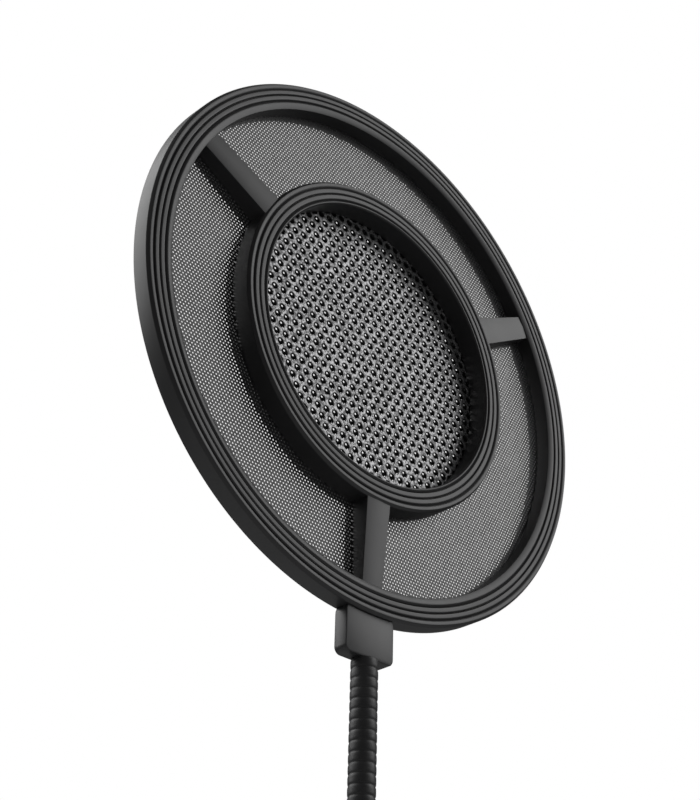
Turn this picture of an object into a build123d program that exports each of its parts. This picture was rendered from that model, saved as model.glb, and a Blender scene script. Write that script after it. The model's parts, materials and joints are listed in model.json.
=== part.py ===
"""Clamp-on pop filter: a round two-layer metal screen on a gooseneck that rises from a screw clamp.

Millimetres. +Z is up, and the screen faces -Y. The origin is the middle of the fixed jaw's rubber
face, and the clamp screw, the swivel and the straight gooseneck all lie on the Z axis.
"""

from build123d import *
import os
from math import cos, radians, sin

os.makedirs("parts", exist_ok=True)

# ---- Driving dimensions ----------------------------------------------------------------------
FIT = 0.05  # radial clearance of pieces that are fixed together
RUNNING_FIT = 0.06  # radial clearance of a shaft that turns in its bore
GAP = 0.3  # clearance between pieces that move past each other

# Head, in its own frame: x to the right, y up, z forward from the outer ring's back edge.
RING_RADIUS = 80.0
RING_OPENING_RADIUS = 72.0
RING_CAVITY_RADIUS = 77.6
RING_WALL_DEPTH = 5.2
RING_FACE_DEPTH = 6.04
HUB_RADIUS = 48.8
HUB_OPENING_RADIUS = 42.0
HUB_WALL_DEPTH = 6.9
HUB_FACE_DEPTH = 7.7
GROOVE_DEPTH = 0.7
RING_GROOVES = (77.9, 76.25, 74.5)
HUB_GROOVES = (46.75, 45.0, 43.2)
SPOKE_ANGLES = (30, 150, 270)
RIDGE_RISE = 0.35  # of a spoke's middle above its sides
SCREEN_THICKNESS = 0.5
OUTER_SCREEN_FRONT = 1.2
COARSE_SCREEN_FRONT = 0.8
COARSE_THICKNESS = 0.6
LAYER_GAP = 0.6  # between the coarse screen and the fine one behind it
REAR_FACE = -1.8
STEM_WIDTH = 16.5
STEM_BACK, STEM_FRONT = 0.4, 4.8
STEM_TOP, STEM_BOTTOM = -78.0, -91.9
HOOP_GROOVE = (73.1, 74.7)  # radii of the groove that both halves have for the outer screen's hoop
HUB_SEAT_RADIUS = 45.9  # both halves of the inner ring, around the screens
STUB_RADIUS = 1.3  # the gooseneck's end fitting, inside the stem
PIN_RADIUS = 0.6

# Gooseneck
RIB_PITCH = 2.7
RIB_CREST_RADIUS = 3.5
RIB_GROOVE_RADIUS = 3.05
CORE_RADIUS = 2.2
RIBS_PER_LINK = 10
NECK_JOINTS = 10
JOINT_GAP = 1.4  # between the sheath ends at each joint
LINK_LENGTH = RIB_PITCH * RIBS_PER_LINK

# Clamp
JAW_WIDTH = 26.0
JAW_THICKNESS = 10.0
JAW_FRONT, THROAT, SPINE_FRONT = 14.0, -22.0, -31.0
PAD_THICKNESS = 2.0
OPENING_HEIGHT = 62.0  # fixed jaw's rubber face to the lower jaw
FOOT_DROP = 26.0  # fixed jaw's rubber face to the foot's rubber face
SCREW_TRAVEL = 23.0  # each way from rest
SCREW_RADIUS = 4.0
SCREW_NECK_RADIUS = 2.8  # where the foot hangs on the screw
INSERT_RADIUS = 6.5
FOOT_RADIUS = 12.5
KNOB_RADIUS = 15.0
KNOB_CAP_RADIUS = 9.5
STUD_RADIUS = 3.0
FERRULE_RADIUS = 6.5
FERRULE_TOP = 45.0
FERRULE_SOCKET = 12.0  # depth of the gooseneck in the ferrule

# ---- Sizes that follow -----------------------------------------------------------------------
BOSS_TOP = PAD_THICKNESS + JAW_THICKNESS + 8.0
STEM_UNDERSIDE = FERRULE_TOP + LINK_LENGTH * (NECK_JOINTS + 1)
JOINT_HEIGHTS = [FERRULE_TOP + LINK_LENGTH * (i + 1) for i in range(NECK_JOINTS)]
NECK_DEPTH = (STEM_BACK + STEM_FRONT) / 2 + 0.3
HEAD = Plane(
    origin=(0, NECK_DEPTH, STEM_UNDERSIDE - STEM_BOTTOM), x_dir=(1, 0, 0), z_dir=(0, -1, 0)
).location
OUTER_SCREEN_BACK = OUTER_SCREEN_FRONT - SCREEN_THICKNESS
COARSE_BACK = COARSE_SCREEN_FRONT - COARSE_THICKNESS
INNER_SCREEN_FRONT = COARSE_BACK - LAYER_GAP
INNER_SCREEN_BACK = INNER_SCREEN_FRONT - SCREEN_THICKNESS
SPOKE_SCREW_RADIUS = 47.5
RIM_SCREW_RADIUS = 75.95
SOCKET_FLOOR = FERRULE_TOP - FERRULE_SOCKET
LOWER_JAW_TOP = -OPENING_HEIGHT
LOWER_JAW_BOTTOM = LOWER_JAW_TOP - JAW_THICKNESS
INSERT_FLANGE_BOTTOM = LOWER_JAW_BOTTOM - 1.5
KNOB_TOP = INSERT_FLANGE_BOTTOM - SCREW_TRAVEL - 1.0

parts = {}


# ---- Helpers ---------------------------------------------------------------------------------
def turned(points):
    """A solid of revolution about Z from (radius, height) corners."""
    outline = make_face(Polyline(*points, close=True))
    return revolve(Plane.XZ * outline, Axis.Z)


def tube(outer, inner, low, high):
    """A ring about Z between two heights; inner 0 gives a plain cylinder."""
    return turned([(inner, low), (outer, low), (outer, high), (inner, high)])


def rod(radius, start, end, at=(0, 0)):
    """A cylinder along Z between two heights."""
    low = min(start, end)
    return Pos(at[0], at[1], low) * Cylinder(
        radius, abs(end - start), align=(Align.CENTER, Align.CENTER, Align.MIN)
    )


def around(radius, angles):
    """Points on a circle."""
    return [(radius * cos(radians(a)), radius * sin(radians(a))) for a in angles]


def beads(grooves, crest, start, end):
    """Edges of a face of rounded beads with a groove between each two, from start to end."""
    low = crest - GROOVE_DEPTH
    edges = [Line((start, crest), (grooves[0] + 0.75, crest))]
    edges.append(
        ThreePointArc((grooves[0] + 0.75, crest), (grooves[0] + 0.35, crest - 0.2), (grooves[0], low))
    )
    for outer, inner in zip(grooves, grooves[1:]):
        edges.append(ThreePointArc((outer, low), ((outer + inner) / 2, crest), (inner, low)))
    last = grooves[-1]
    edges.append(ThreePointArc((last, low), (last - 0.3, crest - 0.2), (last - 0.65, crest)))
    edges.append(Line((last - 0.65, crest), (end, crest)))
    return edges


# ---- Head ------------------------------------------------------------------------------------
def ring_profile():
    """The outer ring's section, with a groove under it for the screen's hoop."""
    lip = 73.45
    top = beads(RING_GROOVES, RING_FACE_DEPTH, RING_RADIUS - 0.64, lip)
    wall = Polyline(
        (RING_CAVITY_RADIUS, OUTER_SCREEN_BACK),
        (RING_CAVITY_RADIUS, 0),
        (RING_RADIUS - 0.3, 0),
        (RING_RADIUS, 0.3),
        (RING_RADIUS, RING_WALL_DEPTH),
        (RING_RADIUS - 0.64, RING_FACE_DEPTH),
    )
    under = Polyline(
        (lip, RING_FACE_DEPTH),
        (RING_OPENING_RADIUS, 5.5),
        (RING_OPENING_RADIUS, OUTER_SCREEN_FRONT),
        (HOOP_GROOVE[0], OUTER_SCREEN_FRONT),
        (HOOP_GROOVE[0], OUTER_SCREEN_FRONT + 0.5),
        (HOOP_GROOVE[1], OUTER_SCREEN_FRONT + 0.5),
        (HOOP_GROOVE[1], OUTER_SCREEN_BACK),
        (RING_CAVITY_RADIUS, OUTER_SCREEN_BACK),
    )
    return make_face(wall.edges() + ShapeList(top) + under.edges())


def hub_profile():
    """The inner ring's section."""
    lip = HUB_OPENING_RADIUS + 0.3
    top = beads(HUB_GROOVES, HUB_FACE_DEPTH, HUB_RADIUS - 0.6, lip)
    rest = Polyline(
        (lip, HUB_FACE_DEPTH),
        (HUB_OPENING_RADIUS, HUB_FACE_DEPTH - 0.4),
        (HUB_OPENING_RADIUS + 0.6, COARSE_SCREEN_FRONT),
        (HUB_SEAT_RADIUS, COARSE_SCREEN_FRONT),
        (HUB_SEAT_RADIUS, OUTER_SCREEN_FRONT),
        (HUB_RADIUS, OUTER_SCREEN_FRONT),
        (HUB_RADIUS, HUB_WALL_DEPTH),
        (HUB_RADIUS - 0.6, HUB_FACE_DEPTH),
    )
    return make_face(ShapeList(top) + rest.edges())


def spoke(angle):
    """A spoke with a shallow ridge, which narrows and falls from the inner ring to the outer one."""

    def section(radius, width, top):
        across = Plane(origin=(radius, 0, 0), x_dir=(0, 1, 0), z_dir=(1, 0, 0))
        shoulder = top - RIDGE_RISE
        return across * make_face(
            Polyline(
                (-width / 2, OUTER_SCREEN_FRONT),
                (-width / 2, shoulder),
                (0, top),
                (width / 2, shoulder),
                (width / 2, OUTER_SCREEN_FRONT),
                close=True,
            )
        )

    inner = section(radius=HUB_RADIUS - 1.4, width=8.4, top=7.3)
    outer = section(radius=RING_OPENING_RADIUS + 0.8, width=7.1, top=5.3)
    return Rot(0, 0, angle) * loft([inner, outer], ruled=True)


def stem():
    """The block under the outer ring that holds the gooseneck's end fitting."""
    block = Pos(0, STEM_BOTTOM, STEM_BACK) * Box(
        STEM_WIDTH,
        STEM_TOP - STEM_BOTTOM,
        STEM_FRONT - STEM_BACK,
        align=(Align.CENTER, Align.MIN, Align.MIN),
    )
    block = fillet(block.edges().filter_by(Axis.Z).sort_by(Axis.Y)[:2], 1.8)
    return fillet(block.edges().filter_by(Axis.Z).sort_by(Axis.Y)[-2:], 3.2)


def head_pieces():
    """Everything in the round head, in the head's own frame."""
    ring = revolve(Plane.XZ * ring_profile(), Axis.Z)
    hub = revolve(Plane.XZ * hub_profile(), Axis.Z)
    front = ring + hub + [spoke(a) for a in SPOKE_ANGLES] + stem()
    front -= rod(RING_CAVITY_RADIUS, -1, OUTER_SCREEN_BACK)

    rear = tube(RING_CAVITY_RADIUS - 0.1, RING_OPENING_RADIUS, REAR_FACE, OUTER_SCREEN_BACK)
    rear += tube(HUB_RADIUS - 0.3, HUB_OPENING_RADIUS, REAR_FACE, OUTER_SCREEN_BACK)
    reach = RING_OPENING_RADIUS + 0.5 - HUB_RADIUS + 1
    for angle in SPOKE_ANGLES:
        bar = Pos(HUB_RADIUS - 1, 0, REAR_FACE) * Box(
            reach, 7.0, OUTER_SCREEN_BACK - REAR_FACE, align=(Align.MIN, Align.CENTER, Align.MIN)
        )
        rear += Rot(0, 0, angle) * bar
    rear -= tube(HOOP_GROOVE[1], HOOP_GROOVE[0], OUTER_SCREEN_BACK - 0.5, OUTER_SCREEN_BACK + 1)
    rear -= tube(HUB_SEAT_RADIUS, 0, INNER_SCREEN_BACK, OUTER_SCREEN_BACK + 1)

    # Flat-head screws from behind: six through the outer ring and three through the inner one.
    rim = around(RIM_SCREW_RADIUS, range(0, 360, 60))
    spokes = around(SPOKE_SCREW_RADIUS, SPOKE_ANGLES)
    radius, head_radius, head_depth, length = 0.8, 1.2, 0.8, 5.2

    def screw(at):
        shape = turned(
            [
                (0, REAR_FACE),
                (head_radius, REAR_FACE),
                (radius, REAR_FACE + head_depth),
                (radius, REAR_FACE + length),
                (0, REAR_FACE + length + 0.5),
            ]
        )
        slot = Pos(0, 0, REAR_FACE) * (Box(1.7, 0.35, 0.7) + Box(0.35, 1.7, 0.7))
        return Pos(at[0], at[1], 0) * (shape - slot)

    def screw_hole(at):
        wide, narrow = head_radius + 2 * FIT, radius + FIT
        shape = turned(
            [
                (0, REAR_FACE - 0.1),
                (wide, REAR_FACE - 0.1),
                (wide, REAR_FACE + FIT),
                (narrow, REAR_FACE + head_depth + FIT),
                (narrow, REAR_FACE + length + 0.2),
                (0, REAR_FACE + length + 0.8),
            ]
        )
        return Pos(at[0], at[1], 0) * shape

    holes = [screw_hole(at) for at in rim + spokes]
    rear -= holes
    front -= holes

    # The gooseneck's end fitting: a rod up inside the stem, with two cross pins from behind.
    stub_top = STEM_BOTTOM + 11.0
    upward = Pos(0, 0, NECK_DEPTH) * Rot(-90, 0, 0)
    front -= upward * rod(STUB_RADIUS + FIT, STEM_BOTTOM - 1, stub_top + 0.2)
    stub = upward * rod(STUB_RADIUS, STEM_BOTTOM - 6.0, stub_top)
    cross_pins = []
    for y in (STEM_BOTTOM + 3.5, STEM_BOTTOM + 8.0):
        front -= rod(PIN_RADIUS + FIT, STEM_BACK - 1, STEM_FRONT - 0.4, at=(0, y))
        stub -= rod(PIN_RADIUS + FIT, STEM_BACK - 1, STEM_FRONT, at=(0, y))
        cross_pins.append(rod(PIN_RADIUS, STEM_BACK + 0.1, STEM_FRONT - 0.5, at=(0, y)))

    outer_screen = tube(73.9, 46.0, OUTER_SCREEN_BACK, OUTER_SCREEN_FRONT)
    outer_screen -= [rod(1.1, 0, 2, at=at) for at in spokes]
    hoop = tube(HOOP_GROOVE[1] - 0.2, HOOP_GROOVE[0] + 0.2, OUTER_SCREEN_BACK - 0.4, OUTER_SCREEN_FRONT + 0.4)
    hoop -= rod(73.9 + FIT, OUTER_SCREEN_BACK, OUTER_SCREEN_FRONT)
    coarse = rod(44.9, COARSE_BACK, COARSE_SCREEN_FRONT)
    seated = HUB_SEAT_RADIUS - 0.1
    coarse_hoop = tube(seated, 44.9 + FIT, COARSE_BACK, COARSE_SCREEN_FRONT)
    spacer = tube(seated, 43.6, INNER_SCREEN_FRONT, COARSE_BACK)
    inner_screen = rod(seated, INNER_SCREEN_BACK, INNER_SCREEN_FRONT)
    return {
        "front_frame": front,
        "rear_frame": rear,
        "outer_fine_screen": outer_screen,
        "outer_screen_hoop": hoop,
        "coarse_screen": coarse,
        "coarse_screen_hoop": coarse_hoop,
        "screen_spacer_ring": spacer,
        "inner_fine_screen": inner_screen,
        "rim_screws": Compound([screw(at) for at in rim]),
        "spoke_screws": Compound([screw(at) for at in spokes]),
        "neck_end_fitting": stub,
        "stem_cross_pins": Compound(cross_pins),
    }


# ---- Gooseneck -------------------------------------------------------------------------------
def ribbed_sheath(low, high, first_groove, plain_below=None):
    """A sleeve whose outside is a row of rounded ribs, cut off square at both ends."""
    bore = CORE_RADIUS + FIT
    count = round((high - first_groove) / RIB_PITCH + 0.5)
    edges = []
    for i in range(count):
        foot = first_groove + i * RIB_PITCH
        edges.append(
            ThreePointArc(
                (RIB_GROOVE_RADIUS, foot),
                (RIB_CREST_RADIUS, foot + RIB_PITCH / 2),
                (RIB_GROOVE_RADIUS, foot + RIB_PITCH),
            )
        )
    end = first_groove + count * RIB_PITCH
    edges += Polyline(
        (RIB_GROOVE_RADIUS, end), (bore, end), (bore, first_groove), (RIB_GROOVE_RADIUS, first_groove)
    ).edges()
    sleeve = revolve(Plane.XZ * make_face(edges), Axis.Z)
    sleeve &= tube(RIB_CREST_RADIUS + 1, 0, low if plain_below is None else first_groove, high)
    if plain_below is not None:
        sleeve += tube(RIB_GROOVE_RADIUS, bore, plain_below, first_groove)
    return sleeve


def neck_core(low, high, domed):
    """The steel core of one link, with a ball-shaped top where the next link turns on it."""
    core = rod(CORE_RADIUS, low, high)
    return core + Pos(0, 0, high) * Sphere(CORE_RADIUS) if domed else core


def neck_pieces():
    """The gooseneck as short stiff links: a base, the links between the joints, and the top."""
    half_gap = JOINT_GAP / 2
    cup = CORE_RADIUS + GAP
    pieces = {}
    pieces["neck_sheath_base"] = ribbed_sheath(
        FERRULE_TOP, JOINT_HEIGHTS[0] - half_gap, FERRULE_TOP, plain_below=SOCKET_FLOOR
    )
    pieces["neck_core_base"] = neck_core(SOCKET_FLOOR, JOINT_HEIGHTS[0], True)
    tops = JOINT_HEIGHTS[1:] + [STEM_UNDERSIDE]
    for number, (low, high) in enumerate(zip(JOINT_HEIGHTS, tops), 1):
        last = number == NECK_JOINTS
        name = "top" if last else f"{number:02d}"
        sheath = ribbed_sheath(low + half_gap, high - (0 if last else half_gap), low)
        pieces[f"neck_sheath_{name}"] = sheath - rod(cup + 0.1, low, low + cup)
        core_top = high - 0.1 if last else high
        core = neck_core(low + cup, core_top, not last)
        if last:
            core -= rod(STUB_RADIUS + FIT, high - 6.2, high)
        pieces[f"neck_core_{name}"] = core
    return pieces


# ---- Swivel at the neck's foot ---------------------------------------------------------------
def swivel_pieces():
    """The ferrule on the gooseneck's foot, and the stud and nut that hold it on the fixed jaw."""
    washer_top = BOSS_TOP + GAP + 1.0
    waist = FERRULE_RADIUS - 0.6
    ferrule = turned(
        [
            (STUD_RADIUS + FIT, washer_top),
            (FERRULE_RADIUS - 0.5, washer_top),
            (FERRULE_RADIUS, washer_top + 0.5),
            (FERRULE_RADIUS, washer_top + 13),
            (waist, washer_top + 13.6),
            (waist, washer_top + 14.8),
            (FERRULE_RADIUS, washer_top + 15.4),
            (FERRULE_RADIUS, FERRULE_TOP - 2.0),
            (FERRULE_RADIUS - 1.3, FERRULE_TOP),
            (RIB_GROOVE_RADIUS + FIT, FERRULE_TOP),
            (RIB_GROOVE_RADIUS + FIT, SOCKET_FLOOR - 0.2),
            (STUD_RADIUS + FIT, SOCKET_FLOOR - 0.2),
        ]
    )
    grub_radius, grub_heights = 1.25, (washer_top + 5.5, FERRULE_TOP - 4.8)
    grubs = []
    for height in grub_heights:
        sideways = Pos(0, 0, height) * Rot(90, 0, 0)
        ferrule -= sideways * rod(grub_radius + FIT, 2.0, 8.0)
        grub = sideways * (rod(grub_radius, 3.2, 6.2) - rod(0.65, 5.0, 7.0))
        grubs.append(grub)
    nut_top = PAD_THICKNESS + 5.2
    nut = extrude(Pos(0, 0, PAD_THICKNESS + 0.7) * RegularPolygon(5.5, 6), nut_top - PAD_THICKNESS - 0.7)
    return {
        "neck_ferrule": ferrule,
        "ferrule_grub_screws": Compound(grubs),
        "swivel_stud": rod(STUD_RADIUS, PAD_THICKNESS + 0.5, SOCKET_FLOOR - 0.4),
        "swivel_top_washer": tube(6.2, STUD_RADIUS + FIT, BOSS_TOP + GAP, washer_top),
        "swivel_low_washer": tube(5.6, STUD_RADIUS + FIT, nut_top, nut_top + 0.5),
        "swivel_nut": nut - rod(STUD_RADIUS + FIT, 0, 20),
    }


# ---- Clamp -----------------------------------------------------------------------------------
def bracket():
    """The C-shaped bracket, its sides recessed between the rims, with a boss on the fixed jaw."""
    top = PAD_THICKNESS + JAW_THICKNESS

    def c_shape(inset):
        outer = Pos((JAW_FRONT + SPINE_FRONT) / 2, (top + LOWER_JAW_BOTTOM) / 2) * Rectangle(
            JAW_FRONT - SPINE_FRONT - 2 * inset, top - LOWER_JAW_BOTTOM - 2 * inset
        )
        spine_side = outer.vertices().sort_by(Axis.X)[:2]
        outer = fillet(spine_side, 9.0 - inset)
        outer = fillet(outer.vertices().sort_by(Axis.X)[-2:], 3.5 - inset * 0.5)
        inner_low, inner_high = LOWER_JAW_TOP - inset, PAD_THICKNESS + inset
        inner = Pos((THROAT - inset + JAW_FRONT + 10) / 2, (inner_low + inner_high) / 2) * Rectangle(
            JAW_FRONT + 10 - THROAT + inset, inner_high - inner_low
        )
        inner = fillet(inner.vertices().sort_by(Axis.X)[:2], 5.0 + inset)
        return outer - inner

    body = extrude(Plane.YZ * c_shape(0), JAW_WIDTH / 2, both=True)
    rim = 2.2
    for side in (-1, 1):
        pocket = Plane.YZ.offset(side * JAW_WIDTH / 2) * c_shape(rim)
        body -= extrude(pocket, -side * 2.5)
    for height in (top, LOWER_JAW_TOP):
        body += rod(10.0, height - JAW_THICKNESS, height)
    body += turned([(0, top - 1), (9.0, top - 1), (9.0, BOSS_TOP - 1), (8.0, BOSS_TOP), (0, BOSS_TOP)])
    body -= rod(STUD_RADIUS + RUNNING_FIT, 0, 40)
    body -= rod(6.6, 0, PAD_THICKNESS + 6.0)
    body -= rod(INSERT_RADIUS + FIT, LOWER_JAW_BOTTOM - 5, LOWER_JAW_TOP + 1)
    return body


def clamp_pieces():
    """The bracket, the rubber pad under its fixed jaw and the threaded insert in its lower jaw."""
    pad_front = JAW_FRONT - 1.0
    pad_depth = 29.0
    pad = Pos(0, pad_front - pad_depth / 2, 0) * Box(
        JAW_WIDTH - 1.0, pad_depth, PAD_THICKNESS, align=(Align.CENTER, Align.CENTER, Align.MIN)
    )
    pad = fillet(pad.edges().filter_by(Axis.Z), 2.5)
    bore = SCREW_RADIUS + RUNNING_FIT
    insert = tube(INSERT_RADIUS, bore, LOWER_JAW_BOTTOM, LOWER_JAW_TOP)
    insert += tube(INSERT_RADIUS + 2, bore, INSERT_FLANGE_BOTTOM, LOWER_JAW_BOTTOM)
    return {"clamp_bracket": bracket(), "jaw_pad": pad, "screw_insert": insert}


def foot_pieces():
    """The foot that presses on the table from below. It doesn't turn with the screw."""
    pad_bottom = -FOOT_DROP - 2.5
    pad_radius = FOOT_RADIUS - 0.5
    hub_bottom = pad_bottom - 9.5
    socket_top, socket_radius = pad_bottom - 2.3, 4.6
    pad = turned(
        [
            (0, pad_bottom),
            (pad_radius, pad_bottom),
            (pad_radius, -FOOT_DROP - 0.8),
            (pad_radius - 0.8, -FOOT_DROP),
            (0, -FOOT_DROP),
        ]
    )
    plate = turned(
        [
            (0, pad_bottom),
            (FOOT_RADIUS, pad_bottom),
            (FOOT_RADIUS, pad_bottom - 1.8),
            (7.5, pad_bottom - 4.0),
            (7.0, hub_bottom),
            (socket_radius, hub_bottom),
            (socket_radius, socket_top),
            (0, socket_top),
        ]
    )
    retainer = tube(socket_radius - FIT, SCREW_NECK_RADIUS + GAP, pad_bottom - 6.6, pad_bottom - 5.4)
    return {"foot_pad": pad, "foot_plate": plate, "foot_retaining_ring": retainer}


def screw_pieces():
    """The clamp screw and its knob."""
    head_top = -FOOT_DROP - 4.8 - GAP
    shoulder = KNOB_TOP - 3.4
    end, end_radius = KNOB_TOP - 15.0, 3.0
    screw = turned(
        [
            (0, head_top),
            (4.3, head_top),
            (4.3, head_top - 2.5),
            (SCREW_NECK_RADIUS, head_top - 2.5),
            (SCREW_NECK_RADIUS, head_top - 7.6),
            (SCREW_RADIUS - 0.6, head_top - 7.6),
            (SCREW_RADIUS, head_top - 8.2),
            (SCREW_RADIUS, shoulder),
            (end_radius, shoulder),
            (end_radius, end),
            (0, end),
        ]
    )
    knob_bottom = KNOB_TOP - 18.5
    knob = rod(KNOB_RADIUS, knob_bottom, KNOB_TOP - 1.5)
    knob -= [rod(5.5, knob_bottom - 1, KNOB_TOP, at=at) for at in around(18.6, range(30, 390, 60))]
    knob = fillet(knob.edges().group_by(Axis.Z)[0] + knob.edges().group_by(Axis.Z)[-1], 1.2)
    knob += turned([(0, KNOB_TOP - 5), (8.0, KNOB_TOP - 5), (7.0, KNOB_TOP), (0, KNOB_TOP)])
    flats = 5.5 / cos(radians(30))
    pocket_top, recess = KNOB_TOP - 3.5, knob_bottom + 1.5
    knob -= rod(SCREW_RADIUS + FIT, KNOB_TOP + 1, pocket_top)
    knob -= extrude(Pos(0, 0, recess) * RegularPolygon(flats + FIT, 6), pocket_top - recess)
    knob -= rod(KNOB_CAP_RADIUS + FIT, knob_bottom - 1, recess)
    insert = extrude(Pos(0, 0, end - 0.5) * RegularPolygon(flats, 6), pocket_top - 0.5 - (end - 0.5))
    insert -= rod(end_radius + FIT, end - 2, pocket_top)
    cap = turned(
        [
            (0, knob_bottom),
            (KNOB_CAP_RADIUS - 0.8, knob_bottom),
            (KNOB_CAP_RADIUS, knob_bottom + 0.6),
            (KNOB_CAP_RADIUS, recess),
            (0, recess),
        ]
    )
    return {"clamp_screw": screw, "clamp_knob": knob, "knob_insert": insert, "knob_cap": cap}


for name, shape in head_pieces().items():
    parts[name] = HEAD * shape
for group in (neck_pieces, swivel_pieces, clamp_pieces, foot_pieces, screw_pieces):
    parts.update(group())

for name, shape in parts.items():
    shape.label = name
    export_step(shape, f"parts/{name}.step")
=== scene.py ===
"""Pop filter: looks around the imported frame. Metres, +Z up, the screen faces -Y."""

import json

import bmesh
import bpy
import numpy as np
from mathutils import Matrix, Vector


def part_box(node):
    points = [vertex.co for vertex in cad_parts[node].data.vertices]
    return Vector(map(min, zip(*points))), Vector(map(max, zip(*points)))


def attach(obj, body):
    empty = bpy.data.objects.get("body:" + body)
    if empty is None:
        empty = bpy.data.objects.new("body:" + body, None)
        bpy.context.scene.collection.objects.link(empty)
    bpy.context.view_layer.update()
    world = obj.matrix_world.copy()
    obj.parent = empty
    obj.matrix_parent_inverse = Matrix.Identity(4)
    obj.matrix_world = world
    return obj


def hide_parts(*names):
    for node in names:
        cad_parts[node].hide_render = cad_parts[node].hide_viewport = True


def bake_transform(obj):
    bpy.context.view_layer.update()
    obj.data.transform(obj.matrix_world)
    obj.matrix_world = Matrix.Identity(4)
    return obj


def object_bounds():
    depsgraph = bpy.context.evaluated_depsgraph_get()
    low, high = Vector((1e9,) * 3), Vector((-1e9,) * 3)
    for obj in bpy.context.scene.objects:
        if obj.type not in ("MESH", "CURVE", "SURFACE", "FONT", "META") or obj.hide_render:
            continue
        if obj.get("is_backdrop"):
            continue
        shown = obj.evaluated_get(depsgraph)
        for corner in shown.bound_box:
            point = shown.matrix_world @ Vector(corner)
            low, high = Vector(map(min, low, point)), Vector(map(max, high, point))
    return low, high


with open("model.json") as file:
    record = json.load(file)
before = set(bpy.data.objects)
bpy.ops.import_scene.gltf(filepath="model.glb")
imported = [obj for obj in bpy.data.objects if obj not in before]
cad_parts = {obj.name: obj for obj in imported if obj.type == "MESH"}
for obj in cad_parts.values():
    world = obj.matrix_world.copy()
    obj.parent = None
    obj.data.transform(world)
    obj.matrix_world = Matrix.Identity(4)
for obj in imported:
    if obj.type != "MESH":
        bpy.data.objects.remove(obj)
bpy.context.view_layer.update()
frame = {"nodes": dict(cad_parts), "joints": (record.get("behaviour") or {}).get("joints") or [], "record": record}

MM = 0.001

# ---- Places, read from the frame --------------------------------------------------------------
front_low, front_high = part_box("front_frame")
RING_RADIUS = (front_high.x - front_low.x) / 2
DISC_CENTRE = Vector((0, front_high.y, front_high.z - RING_RADIUS))
NECK_JOINTS = sorted(
    (joint for joint in frame["joints"] if joint["name"].startswith(("neck_bend", "neck_sway"))),
    key=lambda joint: joint["pos_m"][2],
)
NECK_AXIS_Y = (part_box("neck_core_base")[0].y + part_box("neck_core_base")[1].y) / 2
NECK_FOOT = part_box("neck_ferrule")[1].z
STEM_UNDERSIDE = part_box("neck_sheath_top")[1].z

# ---- Head's sizes. Depths are forward of the outer ring's back edge ----------------------------
RING_OPENING_RADIUS = 72.0 * MM
RING_CAVITY_RADIUS = 77.6 * MM
RING_WALL_DEPTH = 5.2 * MM
RING_FACE_DEPTH = 6.04 * MM
RING_GROOVES = np.array([77.9, 76.25, 74.5]) * MM
HOOP_GROOVE = np.array([73.1, 74.7]) * MM  # radii of the groove for the outer screen's hoop
HOOP_BACK = 0.7 * MM
HUB_RADIUS = 48.8 * MM
HUB_OPENING_RADIUS = 42.0 * MM
HUB_SEAT_RADIUS = 45.9 * MM
HUB_WALL_DEPTH = 6.9 * MM
HUB_FACE_DEPTH = 7.7 * MM
HUB_GROOVES = np.array([46.75, 45.0, 43.2]) * MM
GROOVE_DEPTH = 0.6 * MM
CORNER_ROUND = 0.12 * MM
SPOKE_ANGLES = (30, 150, 270)
SPOKE_HUB_END = np.array([47.4, 4.2, 7.3]) * MM  # radius, half width and depth of a spoke's ends
SPOKE_RING_END = np.array([72.8, 3.55, 5.3]) * MM
SPOKE_RIDGE = 0.15 * MM  # of a spoke's middle above its sides
SPOKE_ROUND = 0.2 * MM
STEM_WIDTH = 16.5 * MM
STEM_TOP = -78.0 * MM
STEM_BACK, STEM_FRONT = 0.4 * MM, 4.8 * MM
STEM_LOW_ROUND, STEM_HIGH_ROUND = 1.8 * MM, 3.2 * MM
PIN_HOLE_RADIUS = 0.65 * MM
PIN_HOLE_FLOOR = 4.4 * MM
PIN_HEIGHTS = (3.5 * MM, 8.0 * MM)  # above the stem's underside

# ---- Screens' sizes, with depths as above ------------------------------------------------------
FINE_PITCH = 1.036 * MM
FINE_HOLE = 0.248 * MM
FINE_THICKNESS = 0.14 * MM
COARSE_PITCH = 3 * FINE_PITCH
COARSE_HOLE = 1.06 * MM
COARSE_THICKNESS = 0.5 * MM
INNER_PITCH = COARSE_PITCH / 2
INNER_HOLE = 0.3 * MM
INNER_OFFSET = (0.05 * MM, -0.04 * MM)  # of the inner layer's holes, sideways and up
OUTER_SHEET = (46.9 * MM, 73.2 * MM)  # the outer screen's inner and outer radius
COARSE_SHEET_RADIUS = 43.2 * MM
INNER_SHEET_RADIUS = 44.8 * MM
OUTER_FRONT = 1.2 * MM
COARSE_FRONT = 0.8 * MM
INNER_FRONT = -0.4 * MM


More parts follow.
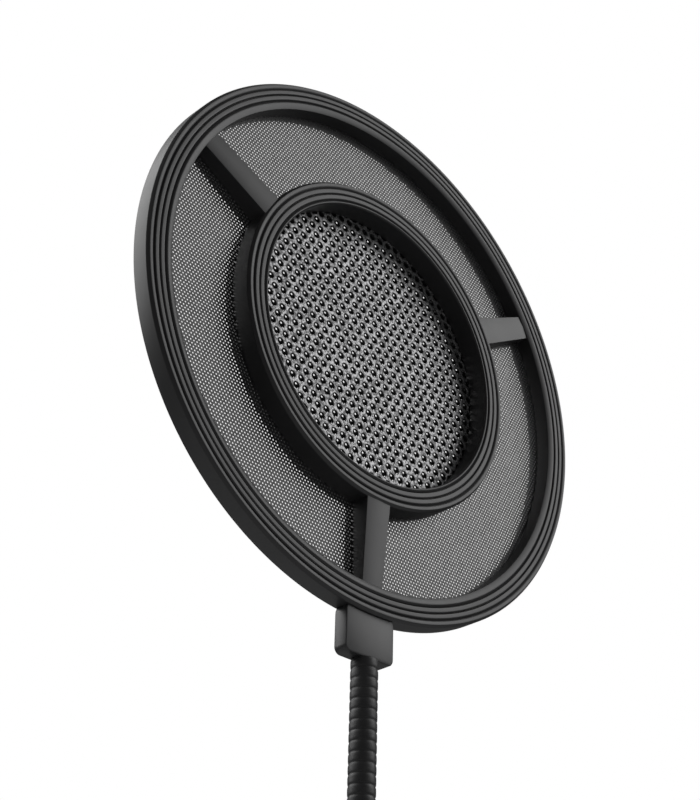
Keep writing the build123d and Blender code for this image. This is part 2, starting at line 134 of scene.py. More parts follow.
# ---- Materials --------------------------------------------------------------------------------
class Nodes:
    """Short calls for building one material's node tree."""

    def __init__(self, name):
        self.material = bpy.data.materials.new(name)
        self.material.use_nodes = True
        self.tree = self.material.node_tree
        self.shader = self.tree.nodes["Principled BSDF"]
        self.place = self.add("ShaderNodeTexCoord").outputs["Object"]

    def add(self, kind, **settings):
        node = self.tree.nodes.new(kind)
        for key, value in settings.items():
            setattr(node, key, value)
        return node

    def join(self, source, target):
        self.tree.links.new(source, target)

    def noise(self, scale, detail=3.0, roughness=0.55, stretch=None):
        """A noise value between about 0.25 and 0.75, scale in cycles per metre."""
        node = self.add("ShaderNodeTexNoise")
        node.inputs["Scale"].default_value = scale
        node.inputs["Detail"].default_value = detail
        node.inputs["Roughness"].default_value = roughness
        if stretch:
            mapping = self.add("ShaderNodeMapping")
            mapping.inputs["Scale"].default_value = stretch
            self.join(self.place, mapping.inputs["Vector"])
            self.join(mapping.outputs["Vector"], node.inputs["Vector"])
        else:
            self.join(self.place, node.inputs["Vector"])
        return node.outputs["Fac"]

    def spread(self, value, low, high, start=0.3, end=0.7):
        """The value stretched from start..end to low..high, and held there."""
        node = self.add("ShaderNodeMapRange")
        node.inputs["From Min"].default_value = start
        node.inputs["From Max"].default_value = end
        node.inputs["To Min"].default_value = low
        node.inputs["To Max"].default_value = high
        self.join(value, node.inputs["Value"])
        return node.outputs["Result"]

    def blend(self, factor, first, second):
        """Colours first and second, mixed by factor. Each is three numbers or a socket."""
        node = self.add("ShaderNodeMix", data_type="RGBA")
        self.join(factor, node.inputs["Factor"])
        for socket, colour in ((node.inputs[6], first), (node.inputs[7], second)):
            if isinstance(colour, tuple):
                socket.default_value = (*colour, 1)
            else:
                self.join(colour, socket)
        return node.outputs[2]

    def edges(self, low, high):
        """0 on flats and 1 on outer edges."""
        pointed = self.add("ShaderNodeNewGeometry").outputs["Pointiness"]
        return self.spread(pointed, low=0, high=1, start=low, end=high)

    def bump(self, height, distance, strength=1.0):
        node = self.add("ShaderNodeBump")
        node.inputs["Distance"].default_value = distance
        node.inputs["Strength"].default_value = strength
        self.join(height, node.inputs["Height"])
        self.join(node.outputs["Normal"], self.shader.inputs["Normal"])

    def set(self, **values):
        for name, value in values.items():
            self.shader.inputs[name.replace("_", " ")].default_value = value


def scaled(colour, factor):
    return tuple(channel * factor for channel in colour)


def moulded(name, colour, gloss=0.42, grain=5200, depth=0.004 * MM, wear=0.2):
    """Fine-grained moulded plastic: faint mottling, a spark-eroded grain and slightly rubbed edges."""
    n = Nodes(name)
    darker, lighter, worn = scaled(colour, 0.96), scaled(colour, 1.04), scaled(colour, 2.2)
    mottled = n.blend(n.spread(n.noise(scale=90), low=0, high=1), darker, lighter)
    rubbed = n.spread(n.edges(low=0.53, high=0.62), low=0, high=wear, start=0, end=1)
    n.join(n.blend(rubbed, mottled, worn), n.shader.inputs["Base Color"])
    sheen = n.spread(n.noise(scale=160), low=gloss - 0.015, high=gloss + 0.015)
    n.join(sheen, n.shader.inputs["Roughness"])
    n.bump(n.noise(grain, detail=2), depth)
    n.set(Specular_IOR_Level=0.5)
    return n.material


def coated(name, colour, gloss=0.4, grain=2600, depth=0.02 * MM, wear=0.5):
    """Powder-coated or painted metal, with an orange-peel surface and thin edges."""
    n = Nodes(name)
    darker, lighter, worn = scaled(colour, 0.88), scaled(colour, 1.12), scaled(colour, 3.0)
    mottled = n.blend(n.spread(n.noise(scale=260), low=0, high=1), darker, lighter)
    edge = n.spread(n.edges(low=0.54, high=0.66), low=0, high=wear, start=0, end=1)
    n.join(n.blend(edge, mottled, worn), n.shader.inputs["Base Color"])
    sheen = n.spread(n.noise(scale=900), low=gloss - 0.06, high=gloss + 0.08)
    n.join(sheen, n.shader.inputs["Roughness"])
    n.bump(n.noise(grain, detail=1.5), depth)
    return n.material


def bare_metal(name, colour, gloss=0.28, stretch=(1, 1, 14), scratch=900):
    """Bright metal with fine turning or drawing lines and faint stains."""
    n = Nodes(name)
    stain = n.spread(n.noise(scale=90, detail=4), low=0, high=1)
    n.join(n.blend(stain, scaled(colour, 0.86), colour), n.shader.inputs["Base Color"])
    lines = n.noise(scratch, detail=2, stretch=stretch)
    n.join(n.spread(lines, low=gloss - 0.08, high=gloss + 0.1), n.shader.inputs["Roughness"])
    n.bump(lines, distance=0.004 * MM)
    n.set(Metallic=1.0)
    return n.material


def rubber(name, colour, gloss=0.55, grain=3400, depth=0.012 * MM):
    """Soft black rubber: a dusty sheen and a fine pebble."""
    n = Nodes(name)
    dust = n.spread(n.noise(scale=320, detail=5), low=0, high=1)
    n.join(n.blend(dust, scaled(colour, 0.85), scaled(colour, 1.25)), n.shader.inputs["Base Color"])
    sheen = n.spread(n.noise(scale=1100), low=gloss - 0.07, high=gloss + 0.08)
    n.join(sheen, n.shader.inputs["Roughness"])
    n.bump(n.noise(grain, detail=2), depth)
    n.set(Specular_IOR_Level=0.45)
    return n.material


def screen_metal(name, colour, front, gloss=0.5, speckle=1700):
    """Satin metal sheet with a speckled face whose bright flecks are painted glints, and with painted shade inside
    its holes. front is its face's depth.
    """
    n = Nodes(name)
    # Random flecks: the darker ones are random tone, and the bright ones, up to twice the colour, are painted
    # glints.
    flecks_and_glints = n.spread(n.noise(speckle, detail=2), low=0, high=1, start=0.42, end=0.6)
    face = n.blend(flecks_and_glints, scaled(colour, 0.6), scaled(colour, 2.0))
    depth = n.add("ShaderNodeSeparateXYZ")
    n.join(n.place, depth.inputs["Vector"])
    plane = DISC_CENTRE.y - front
    rim, throat = plane + 0.03 * MM, plane + 0.16 * MM
    # Painted shade: faces deeper than the rim behind the front (the hole walls and the back) darken towards 0.3 of
    # the colour.
    inside = n.spread(depth.outputs["Y"], low=0, high=1, start=rim, end=throat)
    n.join(n.blend(inside, face, scaled(colour, 0.3)), n.shader.inputs["Base Color"])
    sheen = n.spread(flecks_and_glints, low=gloss + 0.06, high=gloss - 0.06, start=0, end=1)
    n.join(sheen, n.shader.inputs["Roughness"])
    n.bump(n.noise(speckle * 2, detail=2), distance=0.006 * MM)
    n.set(Metallic=0.7)
    return n.material


MATERIALS = {
    "frame_plastic": moulded("frame_plastic", (0.02, 0.02, 0.021), gloss=0.4),
    "fine_mesh": coated("fine_mesh", (0.034, 0.034, 0.035), gloss=0.42, wear=0.1, depth=0.004 * MM),
    "coarse_mesh": screen_metal("coarse_mesh", (0.21, 0.21, 0.213), COARSE_FRONT),
    "neck_sheath": rubber("neck_sheath", (0.026, 0.026, 0.027), gloss=0.46, depth=0.006 * MM),
    "plated_steel": bare_metal("plated_steel", (0.55, 0.55, 0.54), gloss=0.3),
    "black_metal": coated("black_metal", (0.03, 0.03, 0.032), gloss=0.45, grain=3000),
    "pad_rubber": rubber("pad_rubber", (0.02, 0.02, 0.021), gloss=0.7),
    "brass": bare_metal("brass", (0.62, 0.46, 0.2), gloss=0.32),
    "knob_plastic": moulded("knob_plastic", (0.035, 0.035, 0.036), gloss=0.46, grain=4200),
}
# A darker, glossier copy of the fine mesh's material for the layer behind the coarse screen; its extra darkness is
# painted shade.
SHADED_INNER_LAYER = coated("inner_layer", (0.018, 0.018, 0.018), gloss=0.6, wear=0.1, depth=0.004 * MM)
for part in frame["record"]["subparts"]:
    mesh = frame["nodes"][part["node"]].data
    mesh.materials.clear()
    mesh.materials.append(MATERIALS[part["material_slot"]])


# ---- Making pieces ----------------------------------------------------------------------------
def piece(name, vertices, faces, slot, smooth_angle=None, material=None):
    """A mesh object in the row frame with its material, the slot's unless one is given, its faces turned outward.
    """
    mesh = bpy.data.meshes.new(name)
    mesh.from_pydata(np.asarray(vertices).tolist(), [], [list(map(int, face)) for face in faces])
    mesh.validate()
    shell = bmesh.new()
    shell.from_mesh(mesh)
    bmesh.ops.recalc_face_normals(shell, faces=shell.faces)
    shell.to_mesh(mesh)
    shell.free()
    mesh.materials.append(material or MATERIALS[slot])
    made = bpy.data.objects.new(name, mesh)
    bpy.context.scene.collection.objects.link(made)
    if smooth_angle is not None:
        mesh.polygons.foreach_set("use_smooth", [True] * len(mesh.polygons))
        mesh.set_sharp_from_angle(angle=np.radians(smooth_angle))
    return made


def arc(first, middle, last, samples=6):
    """Points on the arc through three points, without its last point."""
    first, middle, last = (np.array(point, float) for point in (first, middle, last))
    sides = 2 * np.array([middle - first, last - first])
    centre = np.linalg.solve(sides, [middle @ middle - first @ first, last @ last - first @ first])
    start, half, end = (np.arctan2(*(point - centre)[::-1]) for point in (first, middle, last))
    sweep = (end - start) % (2 * np.pi)
    if (half - start) % (2 * np.pi) > sweep:
        sweep -= 2 * np.pi
    turn = start + sweep * np.arange(samples) / samples
    radius = np.linalg.norm(first - centre)
    return [tuple(point) for point in centre + radius * np.stack([np.cos(turn), np.sin(turn)], -1)]


def softened(outline, radius, sharp=25, samples=4):
    """A closed outline with each corner sharper than some degrees rounded off."""
    outline = np.asarray(outline, float)
    made = []
    for before, corner, after in zip(np.roll(outline, 1, 0), outline, np.roll(outline, -1, 0)):
        back, ahead = before - corner, after - corner
        reach_back, reach_ahead = np.linalg.norm(back), np.linalg.norm(ahead)
        straight = np.clip(-(back @ ahead) / (reach_back * reach_ahead), -1, 1)
        if np.degrees(np.arccos(straight)) < sharp:
            made.append(corner)
            continue
        start = corner + back * min(radius / reach_back, 0.45)
        end = corner + ahead * min(radius / reach_ahead, 0.45)
        for t in np.linspace(0, 1, samples):
            made.append((1 - t) ** 2 * start + 2 * t * (1 - t) * corner + t**2 * end)
    return np.array(made)


def turned(outline, steps, centre=(0, 0), radius_at=None):
    """Vertices and faces of a closed outline of (radius, height) turned about a vertical axis.
    radius_at(radius, height, angle) may change each vertex's radius."""
    outline = np.asarray(outline, float)
    angles = np.arange(steps) * 2 * np.pi / steps
    radius = np.repeat(outline[:, 0][None], steps, 0)
    height = np.repeat(outline[:, 1][None], steps, 0)
    if radius_at is not None:
        radius = radius_at(radius, height, angles[:, None])
    x = centre[0] + radius * np.cos(angles)[:, None]
    y = centre[1] + radius * np.sin(angles)[:, None]
    vertices = np.stack([x, y, height], -1).reshape(-1, 3)
    count = len(outline)
    i, j = np.meshgrid(np.arange(steps), np.arange(count), indexing="ij")
    after_i, after_j = (i + 1) % steps, (j + 1) % count
    faces = np.stack(
        [i * count + j, after_i * count + j, after_i * count + after_j, i * count + after_j], -1
    )
    return vertices, faces.reshape(-1, 4)


def lofted(loops):
    """Vertices and faces of a closed solid through loops of (x, y, z) points, capped at both ends."""
    loops = np.asarray(loops, float)
    levels, count = loops.shape[:2]
    i, j = np.meshgrid(np.arange(levels - 1), np.arange(count), indexing="ij")
    after = (j + 1) % count
    sides = np.stack([i * count + j, i * count + after, (i + 1) * count + after, (i + 1) * count + j], -1)
    faces = [list(face) for face in sides.reshape(-1, 4)]
    faces.append(list(range(count))[::-1])
    faces.append(list(range((levels - 1) * count, levels * count)))
    return loops.reshape(-1, 3), faces


def on_head(points):
    """Places in the row frame of points (x, y, depth forward) in the head's own frame."""
    points = np.asarray(points, float)
    return np.stack([points[:, 0], -points[:, 2], points[:, 1]], -1) + np.array(DISC_CENTRE)


# ---- Front frame ------------------------------------------------------------------------------
def beads(grooves, crest, start, end):
    """Corners of a face of rounded beads with a groove between each two, from start to end."""
    low = crest - GROOVE_DEPTH
    shoulder = crest - 0.2 * MM
    first, last = grooves[0], grooves[-1]
    points = [(start, crest)]
    points += arc((first + 0.75 * MM, crest), (first + 0.35 * MM, shoulder), (first, low))
    for outer, inner in zip(grooves, grooves[1:]):
        for t in np.arange(14) / 14:
            rise = 1 - abs(2 * t - 1) ** 6
            points.append((outer + (inner - outer) * t, low + GROOVE_DEPTH * rise))
    lip = last - 0.65 * MM
    points += arc((last, low), (last - 0.3 * MM, shoulder), (lip, crest))
    return points + [(lip, crest), (end, crest)]


def frame_ring():
    """The outer ring: a wall with a chamfer, a beaded face and the groove for the screen's hoop."""
    bevel, chamfer = 0.3 * MM, 0.64 * MM
    lip_radius, lip_depth = 73.45 * MM, 5.5 * MM
    hoop_inner, hoop_outer = HOOP_GROOVE
    hoop_front = OUTER_FRONT + 0.5 * MM
    outline = [
        (RING_CAVITY_RADIUS, HOOP_BACK),
        (RING_CAVITY_RADIUS, 0),
        (RING_RADIUS - bevel, 0),
        (RING_RADIUS, bevel),
        (RING_RADIUS, RING_WALL_DEPTH),
    ]
    outline += beads(RING_GROOVES, RING_FACE_DEPTH, RING_RADIUS - chamfer, lip_radius)
    outline += [
        (RING_OPENING_RADIUS, lip_depth),
        (RING_OPENING_RADIUS, OUTER_FRONT),
        (hoop_inner, OUTER_FRONT),
        (hoop_inner, hoop_front),
        (hoop_outer, hoop_front),
        (hoop_outer, HOOP_BACK),
    ]
    vertices, faces = turned(softened(outline, CORNER_ROUND), 480)
    return piece("frame_ring", on_head(vertices), faces, "frame_plastic", smooth_angle=60)


def frame_hub():
    """The inner ring, deeper than the outer one, with the same beaded face."""
    chamfer, lip, taper = 0.6 * MM, 0.3 * MM, 0.6 * MM
    outline = [(HUB_RADIUS, OUTER_FRONT), (HUB_RADIUS, HUB_WALL_DEPTH)]
    outline += beads(HUB_GROOVES, HUB_FACE_DEPTH, HUB_RADIUS - chamfer, HUB_OPENING_RADIUS + lip)
    outline += [
        (HUB_OPENING_RADIUS, HUB_FACE_DEPTH - 0.4 * MM),
        (HUB_OPENING_RADIUS + taper, COARSE_FRONT),
        (HUB_SEAT_RADIUS, COARSE_FRONT),
        (HUB_SEAT_RADIUS, OUTER_FRONT),
    ]
    vertices, faces = turned(softened(outline, CORNER_ROUND), 360)
    return piece("frame_hub", on_head(vertices), faces, "frame_plastic", smooth_angle=60)


def frame_spoke(number, angle):
    """A spoke with a shallow ridge, which narrows and falls from the inner ring to the outer one."""
    turn = np.radians(angle)
    outward = np.array([np.cos(turn), np.sin(turn), 0])
    across = np.array([-np.sin(turn), np.cos(turn), 0])
    loops = []
    for along in np.linspace(0, 1, 9):
        radius, half, top = SPOKE_HUB_END + (SPOKE_RING_END - SPOKE_HUB_END) * along
        shoulder = top - SPOKE_RIDGE
        section = [
            (-half, OUTER_FRONT),
            (-half, shoulder),
            (0, top),
            (half, shoulder),
            (half, OUTER_FRONT),
        ]
        section = softened(section, SPOKE_ROUND)
        loops.append([radius * outward + a * across + (0, 0, h) for a, h in section])
    vertices, faces = lofted(loops)
    name = f"frame_spoke_{number}"
    return piece(name, on_head(vertices), faces, "frame_plastic", smooth_angle=30)


def rounded_block_loop(half_width, low, high, low_radius, high_radius, depth, samples=8):
    """An upright rectangle with rounded corners, as (x, y, depth) points."""
    corners = (
        (half_width, low, low_radius, -90),
        (half_width, high, high_radius, 0),
        (-half_width, high, high_radius, 90),
        (-half_width, low, low_radius, 180),
    )
    loop = []
    for x, y, radius, start in corners:
        centre = (x - np.sign(x) * radius, y + radius if y == low else y - radius)
        for turn in np.radians(start + np.linspace(0, 90, samples)):
            loop.append((centre[0] + radius * np.cos(turn), centre[1] + radius * np.sin(turn), depth))
    return loop


def cut(made, drill):
    """Take the drill's shape out of a piece, and drop the drill."""
    modifier = made.modifiers.new("cut", "BOOLEAN")
    modifier.operation = "DIFFERENCE"
    modifier.object = drill
    modifier.solver = "EXACT"
    seen = made.evaluated_get(bpy.context.evaluated_depsgraph_get())
    mesh = bpy.data.meshes.new_from_object(seen)
    made.modifiers.clear()
    made.data = mesh
    bpy.data.objects.remove(drill)


def frame_stem():
    """The block under the outer ring that holds the gooseneck, with its two pin holes at the back."""
    low = STEM_UNDERSIDE - DISC_CENTRE.z
    reach, middle = 0.3 * MM, 0.09 * MM  # of the rounding along the front and back edges
    rounding = ((reach, 0), (middle, middle), (0, reach))
    levels = [(inset, STEM_BACK + rise) for inset, rise in rounding]
    levels += [(inset, STEM_FRONT - rise) for inset, rise in rounding[::-1]]
    loops = []
    for inset, depth in levels:
        half_width, bottom, top = STEM_WIDTH / 2 - inset, low + inset, STEM_TOP - inset
        loops.append(
            rounded_block_loop(half_width, bottom, top, STEM_LOW_ROUND, STEM_HIGH_ROUND, depth)
        )
    vertices, faces = lofted(loops)
    made = piece("frame_stem", on_head(vertices), faces, "frame_plastic", smooth_angle=40)
    turn = np.arange(24) * 2 * np.pi / 24
    circle = PIN_HOLE_RADIUS * np.stack([np.cos(turn), np.sin(turn)], -1)
    drill_start = -1.0 * MM  # clear of the block's back
    for height in PIN_HEIGHTS:
        ends = (drill_start, PIN_HOLE_FLOOR)
        loops = [[(x, y + low + height, depth) for x, y in circle] for depth in ends]
        vertices, faces = lofted(loops)
        cut(made, piece("drill", on_head(vertices), faces, "frame_plastic"))
    return made


def front_frame():
    """The moulded front: two beaded rings, three spokes and the stem."""
    made = [frame_ring(), frame_hub(), frame_stem()]
    made += [frame_spoke(number, angle) for number, angle in enumerate(SPOKE_ANGLES, 1)]
    for one in made:
        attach(one, "head")
        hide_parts("front_frame")


# ---- Perforated screens -----------------------------------------------------------------------
def hole_centres(pitch, outer, inner=0, sector=None, offset=(0, 0)):
    """Centres of a triangular grid between two radii, and between two angles if sector is given."""
    rows = int(outer / pitch * 2 / np.sqrt(3)) + 2
    reach = int(outer / pitch) + 2
    found = []
    for row in range(-rows, rows + 1):
        z = row * pitch * np.sqrt(3) / 2
        x = (np.arange(-reach, reach + 1) + 0.5 * (row % 2)) * pitch
        found.append(np.stack([x, np.full_like(x, z)], -1))
    grid = np.concatenate(found) + offset
    radius = np.hypot(grid[:, 0], grid[:, 1])
    keep = (radius >= inner) & (radius < outer)
    if sector is not None:
        turn = (np.degrees(np.arctan2(grid[:, 1], grid[:, 0])) - sector[0]) % 360
        keep &= turn < (sector[1] - sector[0])
    return grid[keep]


def cell_edge(pitch, segments):
    """Points at even angles on the edge of one hexagonal cell, the first on a corner."""
    angle = 30 + np.arange(segments) * 360 / segments
    off_side = np.radians((angle + 30) % 60 - 30)
    turn = np.radians(angle)
    distance = pitch / 2 / np.cos(off_side)
    return distance[:, None] * np.stack([np.cos(turn), np.sin(turn)], -1)


def perforated(name, centres, cell, profile, slot, smooth_angle=None, material=None):
    """A sheet of cells with one round hole in each. profile is the hole's (radius, depth) from the
    front edge to the back edge."""
    segments = len(cell)
    turn = np.radians(30) + np.arange(segments) * 2 * np.pi / segments
    circle = np.stack([np.cos(turn), np.sin(turn)], -1)
    loops = [(cell, profile[0][1])] + [(circle * r, d) for r, d in profile] + [(cell, profile[-1][1])]
    rings = len(loops)
    cells = len(centres)
    vertices = np.zeros((cells, rings, segments, 3))
    for k, (loop, depth) in enumerate(loops):
        vertices[:, k, :, 0] = centres[:, :1] + loop[:, 0]
        vertices[:, k, :, 1] = centres[:, 1:] + loop[:, 1]
        vertices[:, k, :, 2] = depth
    flat = vertices.reshape(-1, 3)
    weld = 0.0002 * MM  # vertices are merged on a grid this fine
    keys = np.round(flat / weld).astype(np.int64)
    _, first, merged = np.unique(keys, axis=0, return_index=True, return_inverse=True)
    index = merged.reshape(cells, rings, segments)
    step = np.roll(index, -1, axis=2)
    quads = np.stack([index[:, :-1], step[:, :-1], step[:, 1:], index[:, 1:]], -1).reshape(-1, 4)
    # The sheet's own edge is walled where a cell has no neighbour.
    a, b = index[:, 0].ravel(), step[:, 0].ravel()
    back_a, back_b = index[:, -1].ravel(), step[:, -1].ravel()
    size = len(first)
    alone = ~np.isin(a.astype(np.int64) * size + b, b.astype(np.int64) * size + a)
    edge = np.stack([a[alone], back_a[alone], back_b[alone], b[alone]], -1)
    faces = np.concatenate([quads, edge])
    made = piece(name, on_head(flat[first]), faces, slot, smooth_angle, material)
    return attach(made, "head")


def outer_fine_screen():
    """The outer screen in three thirds. Each hole opens towards the back, as a punched one does."""
    cell = cell_edge(FINE_PITCH, 6)
    flare = 0.04 * MM
    profile = [(FINE_HOLE, OUTER_FRONT), (FINE_HOLE + flare, OUTER_FRONT - FINE_THICKNESS)]
    inner, outer = OUTER_SHEET
    for number, start in enumerate(SPOKE_ANGLES, 1):
        centres = hole_centres(FINE_PITCH, outer, inner, sector=(start, start + 120))
        third = perforated(f"outer_fine_screen_{number}", centres, cell, profile, "fine_mesh")
        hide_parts("outer_fine_screen")


def inner_fine_screen():
    """The second fine layer behind the coarse screen, in two halves, in a copy of the fine mesh's material
    darkened as painted shade.
    """
    cell = cell_edge(INNER_PITCH, 12)
    flare = 0.03 * MM
    profile = [(INNER_HOLE, INNER_FRONT), (INNER_HOLE + flare, INNER_FRONT - FINE_THICKNESS)]
    for number, start in enumerate((90, 270), 1):
        sector = (start, start + 180)
        centres = hole_centres(INNER_PITCH, INNER_SHEET_RADIUS, sector=sector, offset=INNER_OFFSET)
        name = f"inner_fine_screen_{number}"
        half = perforated(name, centres, cell, profile, "fine_mesh", material=SHADED_INNER_LAYER)
        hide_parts("inner_fine_screen")


def coarse_screen():
    """The bright screen: large round holes with rolled edges."""
    reach, middle = 0.1 * MM, 0.03 * MM  # of the rolled edge
    profile = [
        (COARSE_HOLE + reach, COARSE_FRONT),
        (COARSE_HOLE + middle, COARSE_FRONT - middle),
        (COARSE_HOLE, COARSE_FRONT - reach),
        (COARSE_HOLE, COARSE_FRONT - COARSE_THICKNESS),
    ]
    centres = hole_centres(COARSE_PITCH, COARSE_SHEET_RADIUS)
    cell = cell_edge(COARSE_PITCH, 18)
    name = "coarse_screen_mesh"
    made = perforated(name, centres, cell, profile, "coarse_mesh", smooth_angle=50)
    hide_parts("coarse_screen")


# ---- Gooseneck --------------------------------------------------------------------------------
RIB_PITCH = 2.7 * MM
CREST = (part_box("neck_sheath_01")[1].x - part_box("neck_sheath_01")[0].x) / 2
GROOVE = CREST - 0.22 * MM
SKIN_INSIDE = 2.85 * MM


def ribbed_outline(low, high, samples=12):
    """A closed outline of (radius, height): ribs outside, plain inside."""
    count = round((high - low) / RIB_PITCH * samples)
    heights = np.linspace(low, high, count + 1)
    phase = ((heights - NECK_FOOT) / RIB_PITCH) % 1.0
    rise = 1 - np.abs(2 * phase - 1) ** 4
    outside = np.stack([GROOVE + (CREST - GROOVE) * rise, heights], -1)
    inside = np.array([[SKIN_INSIDE, high], [SKIN_INSIDE, low]])
    return np.concatenate([outside, inside])


def neck_skin():
    """One continuous ribbed sleeve, cut in mid link into a piece around each joint."""
    heights = [joint["pos_m"][2] for joint in NECK_JOINTS]
    half = (heights[1] - heights[0]) / 2
    for number, joint in enumerate(NECK_JOINTS, 1):
        centre = joint["pos_m"][2]
        first, last = number == 1, number == len(NECK_JOINTS)
        low = NECK_FOOT if first else centre - half
        high = STEM_UNDERSIDE if last else centre + half
        vertices, faces = turned(ribbed_outline(low, high), 36, centre=(0, NECK_AXIS_Y))
        name = f"neck_sleeve_{number:02d}"
        made = piece(name, vertices, faces, "neck_sheath", smooth_angle=60)
        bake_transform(made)
        if first:
            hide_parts("neck_sheath_base")
        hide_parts("neck_sheath_top" if last else f"neck_sheath_{number:02d}")


# ---- Clamp ------------------------------------------------------------------------------------
NEAR_AXIS = 0.01 * MM  # a turned outline stops just short of its axis


def threaded_screw():
    """The clamp screw with its trapezoidal thread, the neck above it and the head in the foot."""
    low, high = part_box("clamp_screw")
    crest, thread_pitch, thread_depth = 4.0 * MM, 2.0 * MM, 0.9 * MM
    root_half, flank = 0.17, 0.14  # of the thread, as shares of its pitch
    stud_radius, neck_radius, head_radius = 3.0 * MM, 2.8 * MM, 4.3 * MM
    stud_bevel, head_bevel = 0.3 * MM, 0.4 * MM
    thread_end_radius, neck_fall = 3.2 * MM, 0.5 * MM
    thread_top = high.z - 8.2 * MM
    thread_bottom = low.z + 11.6 * MM
    head_underside = high.z - 2.5 * MM
    rows = np.arange(thread_bottom, thread_top, thread_pitch / 10)
    outline = [
        (NEAR_AXIS, low.z),
        (stud_radius - stud_bevel, low.z),
        (stud_radius, low.z + stud_bevel),
        (stud_radius, thread_bottom - stud_bevel),
    ]
    outline += [(crest, z) for z in rows]
    outline += [
        (thread_end_radius, thread_top),
        (neck_radius, thread_top + neck_fall),
        (neck_radius, head_underside),
        (head_radius, head_underside),
        (head_radius, high.z - head_bevel),
        (head_radius - head_bevel, high.z),
        (NEAR_AXIS, high.z),
    ]

    def thread(radius, height, angle):
        phase = ((height - thread_bottom) / thread_pitch - angle / (2 * np.pi)) % 1.0
        tooth = np.clip((np.abs(phase - 0.5) - root_half) / flank, 0, 1)
        threaded = (height >= thread_bottom) & (height < thread_top)
        return np.where(threaded, crest - thread_depth * (1 - tooth), radius)

    vertices, faces = turned(outline, 48, radius_at=thread)
    made = piece("clamp_screw_threaded", vertices, faces, "plated_steel", smooth_angle=40)
    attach(made, "screw")
    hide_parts("clamp_screw")


def jaw_pad():
    """The fixed jaw's rubber pad, with grip ridges across its underside inside a plain margin."""
    low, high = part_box("jaw_pad")
    margin, ridge_pitch, ridge_depth, roll = 2.5 * MM, 2.0 * MM, 0.55 * MM, 0.5 * MM
    ridge_fade, roll_middle = 0.4 * MM, 0.3 * roll
    field_low, field_high = low.y + margin, high.y - margin
    ridged = np.linspace(field_low, field_high, 145)
    wave = 0.5 - 0.5 * np.cos((ridged - field_low) / ridge_pitch * 2 * np.pi)
    half_width = (high.x - low.x) / 2
    from_ends = np.array([0, 0.04, 0.15, 0.3, 0.5, 0.8, 1.2, 1.6, 2.0, 2.5, 2.9]) * MM
    ends = half_width - from_ends
    loops = []
    for x in np.concatenate([-ends, ends[::-1]]):
        from_end = half_width - abs(x)
        across = max(0.0, margin - from_end)
        inset = margin - np.sqrt(margin**2 - across**2)
        lift = roll - np.sqrt(max(0.0, roll**2 - max(0.0, roll - from_end) ** 2))
        depth = ridge_depth * np.clip((from_end - margin) / ridge_fade, 0, 1)
        front = [(low.y + inset, high.z), (low.y + inset, low.z + roll)]
        front += [(low.y + inset + roll_middle, low.z + roll_middle), (low.y + inset + roll, low.z)]
        back = [(high.y + low.y - y, z) for y, z in front[::-1]]
        under = [(y, low.z + depth * rise) for y, rise in zip(ridged, wave)]
        section = [(y, min(z + lift, high.z)) for y, z in front + under + back]
        loops.append([(x, y, z) for y, z in section])
    vertices, faces = lofted(loops)
    made = piece("jaw_pad_ridged", vertices, faces, "pad_rubber", smooth_angle=40)
    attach(made, "clamp")
    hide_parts("jaw_pad")


def foot_pad():
    """The foot's round rubber pad, with ring-shaped grooves in its face."""
    low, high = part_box("foot_pad")
    radius = (high.x - low.x) / 2
    ring_pitch, groove_depth = 2.2 * MM, 0.5 * MM
    outermost, innermost, step = radius - 1.0 * MM, 0.9 * MM, 0.1 * MM
    roll, roll_middle = 0.8 * MM, 0.25 * MM
    outline = [
        (NEAR_AXIS, low.z),
        (radius, low.z),
        (radius, high.z - roll),
        (radius - roll_middle, high.z - roll_middle),
        (radius - roll, high.z),
    ]
    for across in np.arange(outermost, innermost, -step):
        groove = max(0.0, np.cos((radius - across) / ring_pitch * 2 * np.pi))
        outline.append((across, high.z - groove_depth * groove))
    outline.append((NEAR_AXIS, high.z))
    vertices, faces = turned(outline, 96)
    made = piece("foot_pad_grooved", vertices, faces, "pad_rubber", smooth_angle=50)
    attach(made, "foot")
    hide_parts("foot_pad")


front_frame()
outer_fine_screen()
inner_fine_screen()
coarse_screen()
neck_skin()
threaded_screw()
jaw_pad()
foot_pad()


# ---- Camera, light and floor ------------------------------------------------------------------
def camera():
    """A view of the front from below and from the viewer's left. Its lower edge cuts the neck."""
    azimuth, elevation, roll = np.radians((-43.55, -30.17, 1.45))
    distance, aside, below = 0.4655, 0.00096, 0.0198
    ahead = Vector(
        (-np.sin(azimuth) * np.cos(elevation), np.cos(azimuth) * np.cos(elevation), -np.sin(elevation))
    )
    level = ahead.cross(Vector((0, 0, 1))).normalized()
    upright = level.cross(ahead)
    right = level * np.cos(roll) + upright * np.sin(roll)
    up = upright * np.cos(roll) - level * np.sin(roll)
    data = bpy.data.cameras.new("camera")
    data.lens, data.sensor_width = 75.55, 36
    data.shift_x, data.shift_y = -0.0132, 0.0311
    data.clip_start = 0.01
    made = bpy.data.objects.new("camera", data)
    bpy.context.scene.collection.objects.link(made)
    made.matrix_world = Matrix.Translation(
        DISC_CENTRE - ahead * distance - right * aside - up * below
    ) @ Matrix((right, up, -ahead)).transposed().to_4x4()
    bpy.context.scene.camera = made


def softbox(name, place, target, size, watts):
    data = bpy.data.lights.new(name, "AREA")
    data.shape, data.size, data.energy = "DISK", size, watts
    made = bpy.data.objects.new(name, data)
    bpy.context.scene.collection.objects.link(made)
    made.location = place
    made.rotation_euler = (Vector(target) - Vector(place)).to_track_quat("-Z", "Y").to_euler()


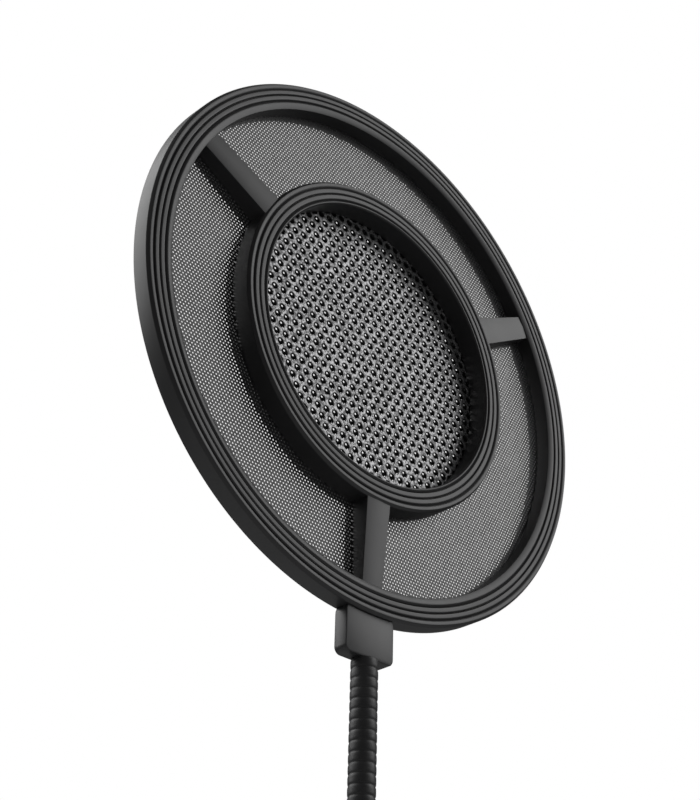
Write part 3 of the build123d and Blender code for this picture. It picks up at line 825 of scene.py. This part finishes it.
def studio():
    """A white surround that lights softly, two softboxes and a pale floor."""
    scene = bpy.context.scene
    scene.view_settings.view_transform = "Standard"
    world = bpy.data.worlds.new("studio")
    scene.world = world
    world.use_nodes = True
    tree = world.node_tree
    seen, lit = tree.nodes["Background"], tree.nodes.new("ShaderNodeBackground")
    seen.inputs["Color"].default_value = (1, 1, 1, 1)
    lit.inputs["Color"].default_value = (1, 1, 1, 1)
    lit.inputs["Strength"].default_value = 0.1
    path, mix = tree.nodes.new("ShaderNodeLightPath"), tree.nodes.new("ShaderNodeMixShader")
    tree.links.new(path.outputs["Is Camera Ray"], mix.inputs["Fac"])
    tree.links.new(lit.outputs[0], mix.inputs[1])
    tree.links.new(seen.outputs[0], mix.inputs[2])
    tree.links.new(mix.outputs[0], tree.nodes["World Output"].inputs["Surface"])
    before, behind = Vector((0.7, -0.66, 0.55)), Vector((-0.58, 0.72, 0.66))
    softbox("front_right", DISC_CENTRE + before, DISC_CENTRE, size=0.95, watts=5.4)
    softbox("back_left", DISC_CENTRE + behind, DISC_CENTRE, size=1.2, watts=8.8)

    # The knob comes down to this level at the end of the clamp screw's travel.
    travel = next(joint["range_m"] for joint in frame["joints"] if joint["name"] == "clamp_travel")
    floor_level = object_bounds()[0][2] + travel[0]
    extent = 3.0
    mesh = bpy.data.meshes.new("floor")
    corners = [(-extent, -extent), (extent, -extent), (extent, extent), (-extent, extent)]
    mesh.from_pydata([(x, y, floor_level) for x, y in corners], [], [(0, 1, 2, 3)])
    pale = bpy.data.materials.new("floor")
    pale.use_nodes = True
    tree = pale.node_tree
    surface = tree.nodes["Principled BSDF"]
    surface.inputs["Base Color"].default_value = (0.8, 0.8, 0.8, 1)
    surface.inputs["Roughness"].default_value = 0.7
    lift, both = tree.nodes.new("ShaderNodeEmission"), tree.nodes.new("ShaderNodeAddShader")
    lift.inputs["Color"].default_value = (0.45, 0.45, 0.45, 1)
    path = tree.nodes.new("ShaderNodeLightPath")
    tree.links.new(path.outputs["Is Camera Ray"], lift.inputs["Strength"])
    tree.links.new(surface.outputs[0], both.inputs[0])
    tree.links.new(lift.outputs[0], both.inputs[1])
    tree.links.new(both.outputs[0], tree.nodes["Material Output"].inputs["Surface"])
    mesh.materials.append(pale)
    floor = bpy.data.objects.new("floor", mesh)
    scene.collection.objects.link(floor)
    floor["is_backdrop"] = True


camera()
studio()
